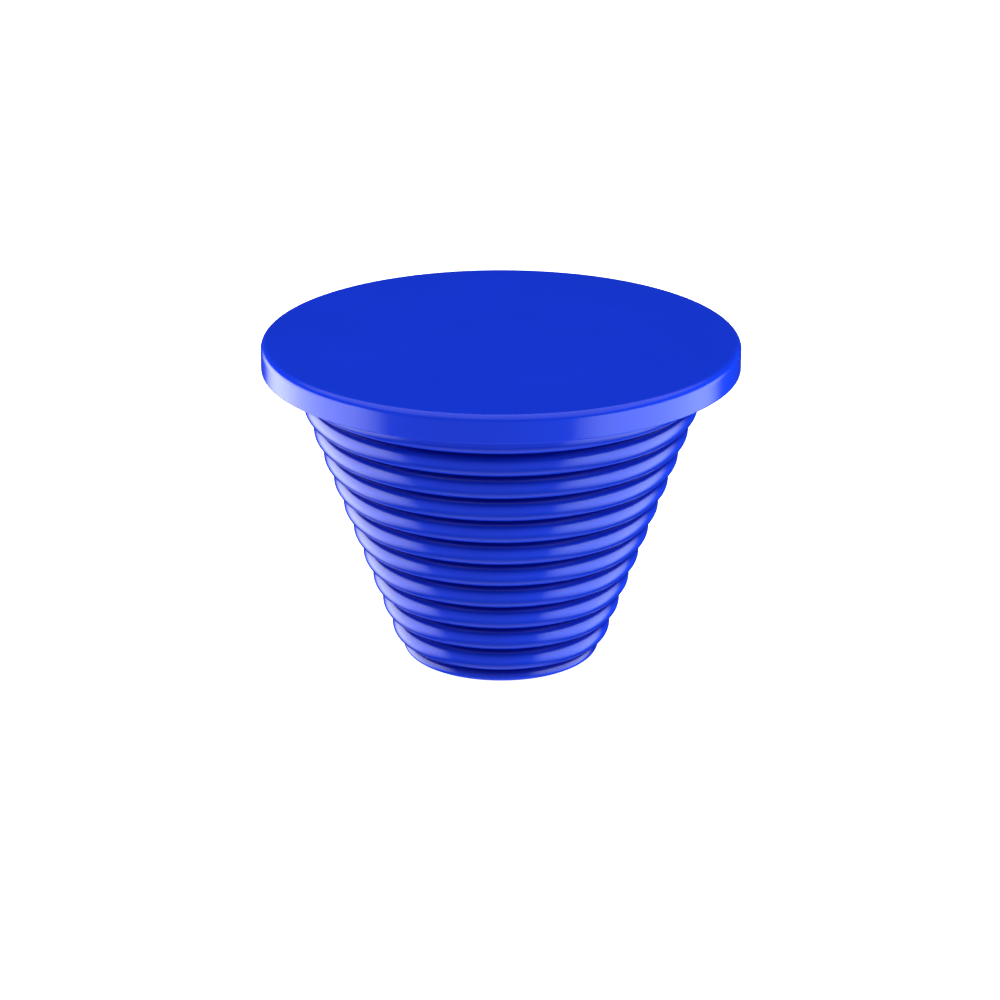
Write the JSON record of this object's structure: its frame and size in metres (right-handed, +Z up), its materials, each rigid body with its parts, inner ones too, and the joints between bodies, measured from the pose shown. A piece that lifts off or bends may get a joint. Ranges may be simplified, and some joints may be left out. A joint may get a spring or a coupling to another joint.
{
  "type": "ribbed stopper",
  "caption": "Conical laboratory stopper: flat head disc on a stem, with a soft ribbed body that seals round necks of different bore.",
  "frame": {"origin": "centre of the flat small end", "axes": "+Z up the axis of the cone, from the small end to the head; X and Y are free, because the part is round"},
  "size_m": [0.05, 0.05, 0.0346],
  "materials": {
    "head": "smooth moulded, satin gloss",
    "core": "as moulded, uncoloured",
    "body": "smooth moulded elastomer, satin gloss"
  },
  "bodies": {
    "root": {"head_disc": "head", "core_stem": "core", "ribbed_body": "body"}
  },
  "joints": []
}
